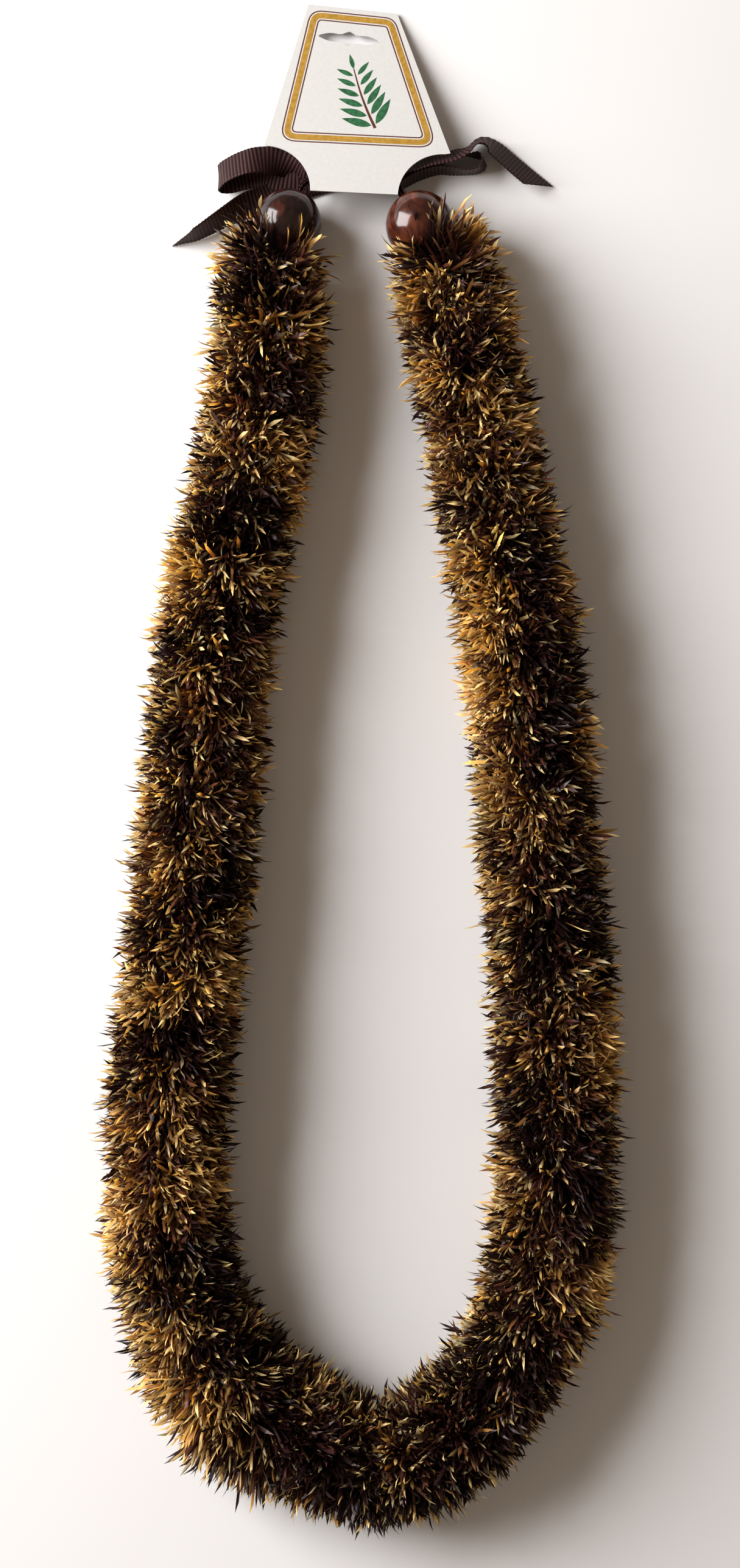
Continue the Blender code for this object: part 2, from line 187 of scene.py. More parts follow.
def cord_end(bead_name):
    """Where the base cord meets the ribbon that comes out of a bead."""
    middle, along = bore_axis(bead_name)
    return (middle - along * (BEADS[bead_name][1] + BEAD_TO_CORD))[:2]


route = curve_through([cord_end("bead_left"), *np.array(ROUTE_MM) * MM, cord_end("bead_right")],
                      ROUTE_STEPS)
route_marks = marks_along(route)
route_length = route_marks[-1]
up = np.array((0.0, 0.0, 1.0))


def middle_line(distance):
    """Places on the garland's middle line, with the directions along it and level across it."""
    flat = read_along(distance, route_marks, route)
    ahead = read_along(np.minimum(distance + MM, route_length), route_marks, route)
    behind = read_along(np.maximum(distance - MM, 0), route_marks, route)
    along = unit(np.concatenate((ahead - behind, np.zeros(distance.shape + (1,))), axis=-1))
    left_half = distance < route_length / 2
    end_height = np.where(left_half, BEADS["bead_left"][1], BEADS["bead_right"][1])
    rise = np.clip(np.where(left_half, distance, route_length - distance) / RISE_LENGTH, 0, 1)
    height = end_height + (AXIS_HEIGHT - end_height) * rise ** 2 * (3 - 2 * rise)
    place = np.concatenate((flat, height[..., None]), axis=-1)
    return place, along, np.cross(up, along)


def lash_blank(chance):
    """A bent lash of unit length along +Z and unit width: three-sided, widest before its tip."""
    low, high = BLANK_STATIONS
    narrow, wide = BLANK_WIDTHS
    shape = bmesh.new()
    bmesh.ops.create_cone(shape, segments=3, cap_ends=True, radius1=0, radius2=narrow, depth=low,
                          matrix=Matrix.Translation((0, 0, low / 2)))
    bmesh.ops.remove_doubles(shape, verts=shape.verts, dist=0.001)
    end = max(shape.faces, key=lambda face: face.calc_center_median().z)
    end = bmesh.ops.extrude_discrete_faces(shape, faces=[end])["faces"][0]
    grow = Matrix.Diagonal((wide / narrow, wide / narrow, 1, 1))
    turn = Matrix.Rotation(chance.uniform(-BLANK_TWIST, BLANK_TWIST), 4, "Z")
    rise = Matrix.Translation((0, 0, high - low))
    bmesh.ops.transform(shape, matrix=rise @ turn @ grow, verts=end.verts)
    bmesh.ops.poke(shape, faces=[end])["verts"][0].co.z = 1
    bmesh.ops.triangulate(shape, faces=shape.faces)
    bow = chance.uniform(*BLANK_BOW)
    wave = chance.uniform(-BLANK_WAVE, BLANK_WAVE)
    for corner in shape.verts:
        t = corner.co.z
        corner.co.y = corner.co.y * BLANK_THICKNESS + bow * t ** BLANK_BOW_POWER
        corner.co.x += wave * math.sin(math.pi * t)
    return shape


def arrays_of(shape):
    """A bmesh's corners and triangles as arrays. It frees the bmesh."""
    shape.verts.index_update()
    corners = np.array([corner.co for corner in shape.verts], float)
    triangles = np.array([[corner.index for corner in face.verts] for face in shape.faces])
    shape.free()
    return corners, triangles


def spread(chance, amounts, tufts, single):
    """Random shares, one drawn for each tuft and one for each lash."""
    by_tuft, by_lash = amounts
    return chance.normal(0, by_tuft, tufts) + chance.normal(0, by_lash, single)


def lashes(chance, blanks, start, stop):
    """The lashes that grow between two marks on the garland, tuft by tuft."""
    tufts = (TUFT_ROWS, TUFTS_ROUND, 1)
    single = (TUFT_ROWS, TUFTS_ROUND, TUFT_LASHES)
    rows, rounds = np.indices(single)[:2]
    pitch = (stop - start) / TUFT_ROWS
    # Roots, with every second row set half a step round
    place = start + (rows + 0.5 + chance.uniform(-ROOT_SCATTER, ROOT_SCATTER, tufts)) * pitch
    place = np.clip(place + chance.normal(0, ROOT_DRIFT, single), start, stop)
    step_round = rounds + 0.5 * (rows % 2) + chance.uniform(-ROOT_SCATTER, ROOT_SCATTER, tufts)
    angle = step_round * 2 * math.pi / TUFTS_ROUND + chance.normal(0, ROOT_TURN, single)
    # Leans: brushed a little towards the closed curve, and out over the beads at both ends
    half = route_length / 2
    brushed = BRUSHED * np.clip((half - place) / (BRUSH_TURN * half), -1, 1)
    from_end = np.minimum(place, route_length - place)
    over_bead = np.clip(1 - from_end / BEAD_SPRAY, 0, 1) * np.sign(place - half)
    lean_along = brushed + over_bead + spread(chance, LEAN_ALONG, tufts, single)
    lean_round = spread(chance, LEAN_ROUND, tufts, single)
    astray = (chance.random(single) < ASTRAY_SHARE) & (from_end > 2 * BEAD_SPRAY)
    lean_along = lean_along + astray * chance.normal(0, ASTRAY_LEAN, single)
    middle, along, across = middle_line(place)
    # Reach, by a slow wave of fuller and thinner places, and swept to one side at the closed curve
    reach = REACH_TOP + (REACH_BOTTOM - REACH_TOP) * np.sin(math.pi * place / route_length)
    reach = reach * chance.uniform(*TUFT_REACH, tufts) * chance.uniform(*LASH_REACH, single)
    spots = [Vector((mark / FULLNESS_WAVE,
                     FULLNESS_ROUND * math.cos(turn), FULLNESS_ROUND * math.sin(turn)))
             for mark, turn in zip(place[:, :, 0].flat, angle[:, :, 0].flat)]
    fullness = np.array([noise.noise(spot + FULLNESS_SPOT) for spot in spots]).reshape(tufts)
    reach = reach * (1 + FULLNESS * fullness)
    for swept_spot, amount in SWEPT:
        away = np.linalg.norm(middle[..., :2] - np.array(swept_spot) * MM, axis=-1)
        nearness = np.exp(-(away / SWEPT_SIZE) ** 2)
        reach = reach * (1 + amount * nearness * np.clip(-np.cos(angle), 0, 1))
    slant = np.minimum(lean_along ** 2 + lean_round ** 2, SLANT_LIMIT)
    length = (reach - ROOT_RADIUS) * np.sqrt(1 + SLANT_GAIN * slant)
    width = chance.uniform(*LASH_WIDTH, single)
    roll = chance.uniform(0, 2 * math.pi, tufts) + chance.normal(0, ROLL_SPREAD, single)

    cos, sin = np.cos(angle)[..., None], np.sin(angle)[..., None]
    outward = cos * across + sin * up
    around = np.cross(along, outward)
    root = middle + outward * ROOT_RADIUS
    grow = unit(outward + lean_along[..., None] * along + lean_round[..., None] * around)
    flat = unit(np.cos(roll)[..., None] * along + np.sin(roll)[..., None] * around)
    flat = unit(flat - grow * (flat * grow).sum(-1, keepdims=True))
    face = np.cross(grow, flat)

    # Dye, in bands round the garland with clumps in them and palest at the beads. Painted light lies
    # on it, paler on both flanks and most on the left flanks that face the window, and painted shade
    # darkens it at the closed curve.
    bands = np.array([noise.noise(spot * (FULLNESS_WAVE / DYE_BAND)) for spot in spots]).reshape(tufts)
    clumps = np.array([noise.noise(spot * (FULLNESS_WAVE / DYE_CLUMP)) for spot in spots]).reshape(tufts)
    # Painted light: the left term brightens the flanks that face the window and the flank term both
    # flanks; the foot term is painted shade at the closed curve.
    left, flank = np.clip(-outward[..., 0], 0, 1), np.cos(angle) ** 4
    foot = np.sin(math.pi * place / route_length) ** 8
    ends = np.exp(-from_end / (2 * BEAD_SPRAY))
    causes = (bands, clumps, left, flank, ends, foot)
    dye_and_light = DYE_BASE + sum(weight * cause for weight, cause in zip(DYE_AND_LIGHT_WEIGHTS, causes))
    dye_and_light = dye_and_light + spread(chance, DYE_SPREAD, tufts, single)
    gilt_and_glow = GILT_BASE + sum(weight * cause for weight, cause in zip(GILT_AND_GLOW_WEIGHTS, causes))
    gilt_and_glow = gilt_and_glow + spread(chance, GILT_SPREAD, tufts, single)
    kinds = chance.integers(0, len(blanks), single)
    shade = chance.random(single)
    parts = []
    count = 0
    for kind, (blank, faces) in enumerate(blanks):
        pick = kinds == kind
        x, y, z = (blank[None, :, axis, None] for axis in range(3))
        wide = width[pick][:, None, None]
        grown = (root[pick][:, None] + grow[pick][:, None] * z * length[pick][:, None, None]
                 + flat[pick][:, None] * x * wide + face[pick][:, None] * y * wide)
        amount = len(grown)
        steps = count + np.arange(amount)[:, None, None] * len(blank)
        own_looks = [np.repeat(look[pick], len(blank)) for look in (dye_and_light, gilt_and_glow, shade)]
        parts.append((grown.reshape(-1, 3), (faces[None] + steps).reshape(-1, 3),
                      np.tile(blank[:, 2], amount), *own_looks))
        count += amount * len(blank)
    return [np.concatenate(part) for part in zip(*parts)]


def stitched_core(start, stop):
    """The worked core of a sleeve: a tube with a ridge for each row of stitches and a bore."""
    steps = int((stop - start) / STITCH_PITCH * STITCH_STEPS)
    marks = np.linspace(start, stop, steps + 1)
    middle, along, across = middle_line(marks)
    shape = bmesh.new()
    loops = []
    for inner in (False, True):
        rings = []
        for index in range(steps + 1):
            ring = []
            for side in range(CORE_SIDES):
                turn = 2 * math.pi * side / CORE_SIDES
                wave = math.cos(2 * math.pi * marks[index] / STITCH_PITCH + turn)
                ridged = ROOT_RADIUS + STITCH_RISE + STITCH_RIDGE * wave
                radius = CORE_BORE if inner else ridged
                spot = middle[index] + radius * (math.cos(turn) * across[index] + math.sin(turn) * up)
                ring.append(shape.verts.new(spot))
            rings.append([shape.edges.new(pair) for pair in zip(ring, ring[1:] + ring[:1])])
        for before, after in zip(rings, rings[1:]):
            bmesh.ops.bridge_loops(shape, edges=before + after)
        loops.append((rings[0], rings[-1]))
    for outer_loop, inner_loop in zip(*loops):
        bmesh.ops.bridge_loops(shape, edges=outer_loop + inner_loop)
    bmesh.ops.triangulate(shape, faces=shape.faces)
    bmesh.ops.recalc_face_normals(shape, faces=shape.faces)
    return arrays_of(shape)


def new_material(name):
    """A new node material, with its tree and its Principled shader."""
    material = bpy.data.materials.new(name)
    material.use_nodes = True
    tree = material.node_tree
    return material, tree, tree.nodes["Principled BSDF"]


def attribute(tree, name):
    """The value of a piece's own attribute, as a socket."""
    node = tree.nodes.new("ShaderNodeAttribute")
    node.attribute_name = name
    return node.outputs["Fac"]


def ramp(tree, factor, stops):
    """Colours spread over a factor. Each stop is a place from 0 to 1 and a colour."""
    node = tree.nodes.new("ShaderNodeValToRGB")
    band = node.color_ramp
    while len(band.elements) < len(stops):
        band.elements.new(0.5)
    for element, (place, colour) in zip(band.elements, stops):
        element.position = place
        element.color = (*colour, 1)
    tree.links.new(factor, node.inputs["Fac"])
    return node.outputs["Color"]


def blended(tree, factor, first, second, how="MIX"):
    """Two colours mixed by a factor. A colour is a socket or three numbers."""
    node = tree.nodes.new("ShaderNodeMix")
    node.data_type = "RGBA"
    node.blend_type = how
    for socket, value in ((node.inputs[0], factor), (node.inputs[6], first), (node.inputs[7], second)):
        if isinstance(value, bpy.types.NodeSocket):
            tree.links.new(value, socket)
        elif isinstance(value, (int, float)):
            socket.default_value = value
        else:
            socket.default_value = (*value, 1)
    return node.outputs[2]


def add_piece(name, mesh, material, slot, *nodes):
    """Puts a finished mesh into the scene on the lei's one body, in place of its CAD nodes."""
    mesh.materials.clear()
    mesh.materials.append(material)
    piece = bpy.data.objects.new(name, mesh)
    bpy.context.scene.collection.objects.link(piece)
    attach(piece, "root")
    if nodes:
        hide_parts(*nodes)
    return piece


def lash_material():
    """Shiny lashes: painted shade darkens them towards the root, and some are gilded at the tip,
    with a painted glow on the flanks. They let some light through.
    """
    material, tree, shader = new_material("eyelash_yarn")
    reach = attribute(tree, "reach")
    dye_and_light_colour = ramp(tree, attribute(tree, "dye_and_light"), [
        (0.1, (0.02, 0.0085, 0.008)), (0.36, (0.05, 0.018, 0.0165)), (0.47, (0.12, 0.04, 0.03)),
        (0.6, (0.225, 0.088, 0.036)), (0.75, (0.47, 0.27, 0.065)), (1.0, (0.86, 0.7, 0.26)),
    ])
    # Painted shade: this ramp darkens each lash towards its root, where the tufts shade one another.
    root_shaded = blended(tree, 1.0, dye_and_light_colour, ramp(tree, reach, [
        (0.0, (0.3, 0.26, 0.25)), (0.55, (0.66, 0.6, 0.56)), (0.85, (1.0, 1.0, 1.0)),
    ]), "MULTIPLY")
    # This gold-tip mask carries real gilded tips and also a painted glow on the flanks.
    gilt_and_glow_mask = ramp(tree, attribute(tree, "gilt_and_glow"), [(0.35, (0, 0, 0)), (0.57, (0.95, 0.95, 0.95))])
    near_tip = ramp(tree, reach, [(0.4, (0, 0, 0)), (0.82, (0.9, 0.9, 0.9))])
    at_tip = ramp(tree, reach, [(0.72, (0, 0, 0)), (0.95, (0.95, 0.95, 0.95))])
    warm = blended(tree, gilt_and_glow_mask, root_shaded, (0.48, 0.25, 0.075))
    pale = blended(tree, gilt_and_glow_mask, root_shaded, (0.97, 0.86, 0.46))
    warmed = blended(tree, near_tip, root_shaded, warm)
    tipped = blended(tree, at_tip, warmed, pale)
    shade = ramp(tree, attribute(tree, "shade"), [(0.0, (0.65, 0.65, 0.65)), (1.0, (1.2, 1.2, 1.2))])
    colour = blended(tree, 1.0, tipped, shade, "MULTIPLY")
    tree.links.new(colour, shader.inputs["Base Color"])
    shader.inputs["Roughness"].default_value = 0.3
    shader.inputs["Specular IOR Level"].default_value = 0.4
    shader.inputs["Specular Tint"].default_value = (1.0, 0.84, 0.82, 1)
    through = tree.nodes.new("ShaderNodeBsdfTranslucent")
    tree.links.new(blended(tree, 1.0, colour, (1.6, 1.42, 1.0), "MULTIPLY"), through.inputs["Color"])
    both = tree.nodes.new("ShaderNodeMixShader")
    both.inputs["Fac"].default_value = 0.4
    tree.links.new(shader.outputs["BSDF"], both.inputs[1])
    tree.links.new(through.outputs["BSDF"], both.inputs[2])
    tree.links.new(both.outputs["Shader"], tree.nodes["Material Output"].inputs["Surface"])
    return material


lash_yarn = lash_material()
blank_chance = np.random.default_rng(BLANK_SEED)
blanks = [arrays_of(lash_blank(blank_chance)) for _ in range(LASH_BLANKS)]
sleeve_pitch = route_length / SLEEVES
for number in range(SLEEVES):
    sleeve_chance = np.random.default_rng(SLEEVE_SEED + number)
    sleeve_start = number * sleeve_pitch + (SLEEVE_GAP / 2 if number else 0)
    sleeve_stop = (number + 1) * sleeve_pitch - (SLEEVE_GAP / 2 if number < SLEEVES - 1 else 0)
    corners, triangles, *looks = lashes(sleeve_chance, blanks, sleeve_start, sleeve_stop)
    core_corners, core_triangles = stitched_core(sleeve_start, sleeve_stop)
    triangles = np.vstack((triangles, core_triangles + len(corners)))
    corners = np.vstack((corners, core_corners))
    sunk = (corners[:, 2] - LOWEST_LASH) / PRESSED_DEPTH
    corners[:, 2] = LOWEST_LASH + PRESSED_DEPTH * np.logaddexp(0, sunk)
    sleeve = bpy.data.meshes.new(f"lashes_{number + 1:02d}")
    sleeve.from_pydata(corners.tolist(), [], triangles.tolist())
    # The core takes 0.3 for every look, so it gets the darkest dye and the lashes' painted root shade.
    core_look = np.full(len(core_corners), CORE_LOOK)
    for label, values in zip(("reach", "dye_and_light", "gilt_and_glow", "shade"), looks):
        whole = np.concatenate((values, core_look)).astype(np.float32)
        sleeve.attributes.new(label, "FLOAT", "POINT").data.foreach_set("value", whole)
    add_piece(sleeve.name, sleeve, lash_yarn, "fringe_yarn", f"fringe_{number + 1:02d}")


# The base cord is a plain two-ply cord that the fringe is worked on. It is a solid of the frame
# and lies hidden in the stitched cores.
CORD_PLY_PITCH = 6 * MM


def cord_material():
    """Dull dark brown plies that wind round the cord."""
    material, tree, shader = new_material("base_cord_yarn")
    place = tree.nodes.new("ShaderNodeTexCoord").outputs["Object"]
    plies = tree.nodes.new("ShaderNodeTexWave")
    plies.bands_direction = "DIAGONAL"
    plies.inputs["Scale"].default_value = 0.5 / CORD_PLY_PITCH
    tree.links.new(place, plies.inputs["Vector"])
    tone = ramp(tree, plies.outputs["Fac"], [(0.1, (0.02, 0.008, 0.005)), (0.8, (0.07, 0.028, 0.016))])
    tree.links.new(tone, shader.inputs["Base Color"])
    shader.inputs["Roughness"].default_value = 0.85
    return material


base_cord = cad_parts["base_cord"]
if not base_cord.material_slots:
    base_cord.data.materials.append(None)
base_cord.material_slots[0].material = cord_material()


# The two beads are round nuts, drilled, sanded and polished: one almost black, one red-brown. Each
# is turned from its half outline, with eased rims at its bore and the nut's own low dents.
BEAD_BORE = 2.15 * MM
BEAD_RIM = 0.5 * MM
BEAD_ROWS = 56
BEAD_STEPS = 112
BEAD_DENT = 0.16 * MM
BEAD_DENT_SIZE = 7 * MM
BEAD_PIT = 0.05 * MM
BEAD_PIT_SIZE = 1.8 * MM
BEAD_SKIN = 0.1
BEAD_RIM_STEPS = ((0.35, 0.85), (1, 1), (4, 1))
BEAD_NOISE_STEP = 40


def polished_nut(bead_name):
    """A bead's mesh, standing on the surface with its bore along the ribbon."""
    middle = bore_axis(bead_name)[0]
    radius = BEADS[bead_name][1]
    mouth = math.asin((BEAD_BORE + BEAD_RIM) / radius)
    shape = bmesh.new()
    outline = []
    for step in range(BEAD_ROWS + 1):
        angle = mouth + (math.pi - 2 * mouth) * step / BEAD_ROWS
        outline.append(shape.verts.new((radius * math.sin(angle), 0, radius * math.cos(angle))))
    low, high = outline[-1].co.z, outline[0].co.z
    for depth, inset in BEAD_RIM_STEPS:
        outline.append(shape.verts.new((BEAD_BORE + BEAD_RIM * (1 - inset), 0, low + depth * BEAD_RIM)))
    for depth, inset in reversed(BEAD_RIM_STEPS):
        outline.append(shape.verts.new((BEAD_BORE + BEAD_RIM * (1 - inset), 0, high - depth * BEAD_RIM)))
    edges = [shape.edges.new(pair) for pair in zip(outline, outline[1:] + outline[:1])]
    bmesh.ops.spin(shape, geom=outline + edges, cent=(0, 0, 0), axis=(0, 0, 1), angle=2 * math.pi,
                   steps=BEAD_STEPS, use_merge=True)
    noise_spot = Vector((radius, 0, 0)) * BEAD_NOISE_STEP
    for corner in shape.verts:
        outward = corner.co.normalized()
        skin = min(max((corner.co.length / radius - 1 + BEAD_SKIN) / BEAD_SKIN, 0), 1)
        dent = noise.noise(corner.co / BEAD_DENT_SIZE + noise_spot) - 0.5
        pit = noise.noise(corner.co / BEAD_PIT_SIZE + noise_spot) - 0.5
        corner.co += outward * skin * (BEAD_DENT * dent + BEAD_PIT * pit)
    lean = Matrix.Rotation(math.radians(BEADS[bead_name][2]), 4, "Z")
    laid = Matrix.Rotation(-math.pi / 2, 4, "X")
    bmesh.ops.transform(shape, matrix=Matrix.Translation(middle) @ lean @ laid, verts=shape.verts)
    bmesh.ops.recalc_face_normals(shape, faces=shape.faces)
    mesh = bpy.data.meshes.new("polished_" + bead_name)
    shape.to_mesh(mesh)
    shape.free()
    mesh.shade_smooth()
    return mesh


def nut_material(name, dark, mid, bright, middle, streak_turn):
    """A polished nut shell: mottled streaks under a clear shine."""
    material, tree, shader = new_material(name)
    place = tree.nodes.new("ShaderNodeTexCoord").outputs["Object"]
    turned = tree.nodes.new("ShaderNodeMapping")
    turned.vector_type = "TEXTURE"
    turned.inputs["Location"].default_value = middle
    turned.inputs["Rotation"].default_value = (0, 0, math.radians(streak_turn))
    tree.links.new(place, turned.inputs["Vector"])
    stretched = tree.nodes.new("ShaderNodeMapping")
    stretched.inputs["Scale"].default_value = (260, 95, 150)
    tree.links.new(turned.outputs["Vector"], stretched.inputs["Vector"])
    mottle = tree.nodes.new("ShaderNodeTexNoise")
    mottle.inputs["Scale"].default_value = 1
    mottle.inputs["Detail"].default_value = 5
    mottle.inputs["Distortion"].default_value = 0.8
    tree.links.new(stretched.outputs["Vector"], mottle.inputs["Vector"])
    shell = ramp(tree, mottle.outputs["Fac"], [(0.36, dark), (0.52, mid), (0.68, bright)])
    tree.links.new(shell, shader.inputs["Base Color"])
    shader.inputs["Roughness"].default_value = 0.17
    shader.inputs["Specular IOR Level"].default_value = 0.35
    shader.inputs["Coat Weight"].default_value = 0.2
    shader.inputs["Coat Roughness"].default_value = 0.03
    return material


nut_looks = {
    "bead_left": ((0.007, 0.003, 0.003), (0.016, 0.006, 0.005), (0.07, 0.017, 0.011), "nut_dark"),
    "bead_right": ((0.022, 0.006, 0.004), (0.052, 0.0125, 0.007), (0.13, 0.032, 0.015), "nut_red"),
}
for bead_name, (dark, mid, bright, slot_name) in nut_looks.items():
    look = nut_material(slot_name, dark, mid, bright, bore_axis(bead_name)[0], BEADS[bead_name][2])
    add_piece("polished_" + bead_name, polished_nut(bead_name), look, slot_name, bead_name)


# The ribbon is dark brown grosgrain, 10 mm wide, with a rib across it at every thick weft. One
# length is bunched through both beads, tied behind the card and cut on the slant at its tails.
RIBBON_WIDTH = 10 * MM
RIBBON_THICKNESS = 0.35 * MM
RIB_PITCH = 1.4 * MM
RIB_DEPTH = 0.12 * MM
RIB_SAMPLES = 4
RIBBON_ROWS = 16
RIBBON_STEPS = 12
CUT_LENGTH = 13 * MM
LAY_STEP = 0.4 * MM
PLEAT_HALF = 1.15 * MM
PLEAT_STACK = 0.27
SEAT_GAP = 0.3 * MM

LEFT_LOOP = [
    (-8, 212.4, 7, 90, 78), (-15.5, 211, 7, 84, 76), (-20.8, 212.8, 6.6, 52, 70),
    (-24.3, 216, 6.2, 60, 52), (-29.5, 218.2, 7.6, 78, 20), (-35.5, 218.6, 10, 90, -8),
    (-40.5, 218, 11, 95, -18), (-45.5, 216.8, 9.6, 98, -24), (-49.8, 215.2, 7.2, 98, -26),
    (-52, 213.9, 4.8, 94, -18), (-51.8, 213.1, 3, 92, -8), (-48.6, 213.3, 1.9, 96, 0),
    (-43, 214.6, 1.9, 96, 0), (-36, 215.4, 2.5, 92, 4), (-26, 212.8, 3.8, 88, 20),
    (-16, 212.2, 5, 88, 45), (-8, 212.4, 6, 90, 60),
]
LEFT_TAIL = [
    (-7, 212.2, 4.6, 98, 60), (-14, 211.8, 4.4, 100, 48), (-21, 211, 3.2, 106, 26),
    (-30, 208.2, 1.7, 112, 6), (-36.5, 205.7, 1.8, 114, 16), (-42.2, 203.6, 3.1, 117, 34),
    (-48.3, 200.1, 4.4, 120, 54), (-56, 195.3, 5, 120, 68), (-61, 192.4, 5.15, 118, 76),
    (-65.4, 191.2, 5.2, 112, 80),
]
RIGHT_LOOP = [
    (3, 212.4, 6.4, 90, 84), (11.5, 211.2, 5.8, 100, 84), (16, 213.2, 5.4, 118, 88),
    (20.1, 215.3, 5.3, 116, 92), (23.5, 216.9, 5.2, 112, 94), (28, 218.3, 5.2, 104, 96),
    (33, 219.7, 5.2, 98, 99), (38, 221.3, 5.2, 92, 101), (42.4, 221.5, 5.2, 180, 88),
    (44.6, 219.9, 5.2, 193, 80), (44.6, 217.7, 5.2, 174, 80), (42.4, 216, 5.2, 124, 90),
    (38, 215.3, 5.2, 90, 93), (33, 215.8, 5.2, 90, 86), (28, 216.1, 5.2, 94, 84),
    (21, 214.1, 5.1, 104, 82), (13, 210.4, 5.1, 108, 84), (4, 211.8, 5.6, 92, 84),
]
RIGHT_TAIL = [
    (3, 213.4, 5.8, 104, 84), (11, 212.6, 6.2, 108, 92), (16, 214.6, 6.8, 112, 104),
    (20.1, 216.7, 7.3, 112, 114), (23.5, 218.2, 7.8, 112, 120), (28, 219.3, 8.3, 112, 124),
    (33, 220.3, 8.7, 112, 125), (37, 222, 8.6, 112, 120), (41.2, 224.8, 7.6, 108, 104),
    (45.6, 225.6, 5.8, 76, 128), (49.4, 223.5, 5, 58, 136), (53.7, 219.9, 4.6, 48, 137),
    (59.2, 215.3, 4.2, 50, 138), (64.8, 210.8, 4.1, 54, 138),
]
LEFT_END_CUT = -4.6 * MM
RIGHT_END_CUT = -4.2 * MM
LEFT_LEAD_MM = [(-19.4, 210.3, 11), (-14.4, 213.4, 9.4), (-8, 214, 8.6)]
RIGHT_LEAD_MM = [(12.4, 208.8, 11.2), (8, 211.4, 9.6), (2, 212.6, 8.6)]


def grosgrain():
    """Dull ribbed weave: mauve-brown on each rib, lightened there as a painted highlight, and almost
    black between them as painted shade.
    """
    material, tree, shader = new_material("grosgrain_ribbon")
    rib_shade_colour = ramp(tree, attribute(tree, "rib"), [
        (0.0, (0.008, 0.004, 0.0042)), (0.5, (0.018, 0.0082, 0.0084)), (1.0, (0.075, 0.032, 0.031)),
    ])
    place = tree.nodes.new("ShaderNodeTexCoord").outputs["Object"]
    threads = tree.nodes.new("ShaderNodeTexNoise")
    threads.inputs["Scale"].default_value = 2600
    threads.inputs["Detail"].default_value = 2
    tree.links.new(place, threads.inputs["Vector"])
    flecks = ramp(tree, threads.outputs["Fac"], [(0.3, (0.7, 0.7, 0.7)), (0.7, (1.3, 1.3, 1.3))])
    tree.links.new(blended(tree, 1.0, rib_shade_colour, flecks, "MULTIPLY"), shader.inputs["Base Color"])
    shader.inputs["Roughness"].default_value = 0.42
    shader.inputs["Specular IOR Level"].default_value = 0.16
    shader.inputs["Specular Tint"].default_value = (1.0, 0.7, 0.64, 1)
    bump = tree.nodes.new("ShaderNodeBump")
    bump.inputs["Strength"].default_value = 0.25
    bump.inputs["Distance"].default_value = 0.1 * MM
    tree.links.new(threads.outputs["Fac"], bump.inputs["Height"])
    tree.links.new(bump.outputs["Normal"], shader.inputs["Normal"])
    return material


def ribbon(name, stations, end_cut=0.0, gathered=False):
    """Lays a flat cut length on its stations: x, y, z in mm, then its width's heading and tilt."""
    table = np.array(stations, float)
    heading, tilt = np.radians(table[:, 3]), np.radians(table[:, 4])
    widths = np.stack((np.cos(heading) * np.cos(tilt), np.sin(heading) * np.cos(tilt), np.sin(tilt)), -1)
    line = curve_through(np.hstack((table[:, :3] * MM, widths)), RIBBON_STEPS)
    marks = marks_along(line[:, :3])
    length = marks[-1]
    columns = round(length / RIB_PITCH * RIB_SAMPLES)
    shape = bmesh.new()
    bmesh.ops.create_grid(shape, x_segments=columns, y_segments=RIBBON_ROWS, size=0.5)
    mesh = bpy.data.meshes.new(name)
    shape.to_mesh(mesh)
    shape.free()
    flat = np.zeros(len(mesh.vertices) * 3)
    mesh.vertices.foreach_get("co", flat)
    flat = flat.reshape(-1, 3)
    along, across = (flat[:, 0] + 0.5) * length, flat[:, 1] * RIBBON_WIDTH
    near_end = np.clip((along - length + CUT_LENGTH) / CUT_LENGTH, 0, 1)
    along = along + end_cut * near_end * across / (RIBBON_WIDTH / 2)
    kept = np.clip(along, 0, length)
    here = read_along(kept, marks, line)
    ahead = read_along(np.minimum(kept + LAY_STEP, length), marks, line)[:, :3]
    behind = read_along(np.maximum(kept - LAY_STEP, 0), marks, line)[:, :3]
    run = unit(ahead - behind)
    wide = unit(here[:, 3:] - run * (here[:, 3:] * run).sum(-1, keepdims=True))
    facing = np.cross(run, wide)
    rib = np.cos(2 * math.pi * along / RIB_PITCH)
    raised = RIB_DEPTH * rib
    if gathered:
        panel = RIBBON_WIDTH / 4
        fold = np.abs((across / panel + 0.5) % 2 - 1) * 2 - 1
        raised = raised * 0.5 + PLEAT_STACK * across
        across = fold * PLEAT_HALF
    past = along - kept
    laid = (here[:, :3] + run * past[:, None] + wide * across[:, None] + facing * raised[:, None])
    mesh.vertices.foreach_set("co", laid.ravel())
    # Painted rib shade: lighter on each rib as a painted highlight, darker in the valleys between.
    rib_shade = (0.5 + 0.5 * rib).astype(np.float32)
    mesh.attributes.new("rib", "FLOAT", "POINT").data.foreach_set("value", rib_shade)
    mesh.shade_smooth()
    piece = add_piece(name, mesh, ribbon_weave, "grosgrain", "ribbon_bow")
    cloth = piece.modifiers.new("thickness", "SOLIDIFY")
    cloth.thickness = RIBBON_THICKNESS
    cloth.offset = 0


def ribbon_lead(name, bead_name, points):
    """The pleated stretch from the base cord through a bead's bore to the knot."""
    middle, along = bore_axis(bead_name)
    radius = BEADS[bead_name][1]
    stations = [middle - along * (radius + BEAD_TO_CORD - SEAT_GAP), middle, middle + along * radius]
    stations = [tuple(station / MM) for station in stations] + points
    ribbon(name, [(*station, 0, 90) for station in stations], gathered=True)


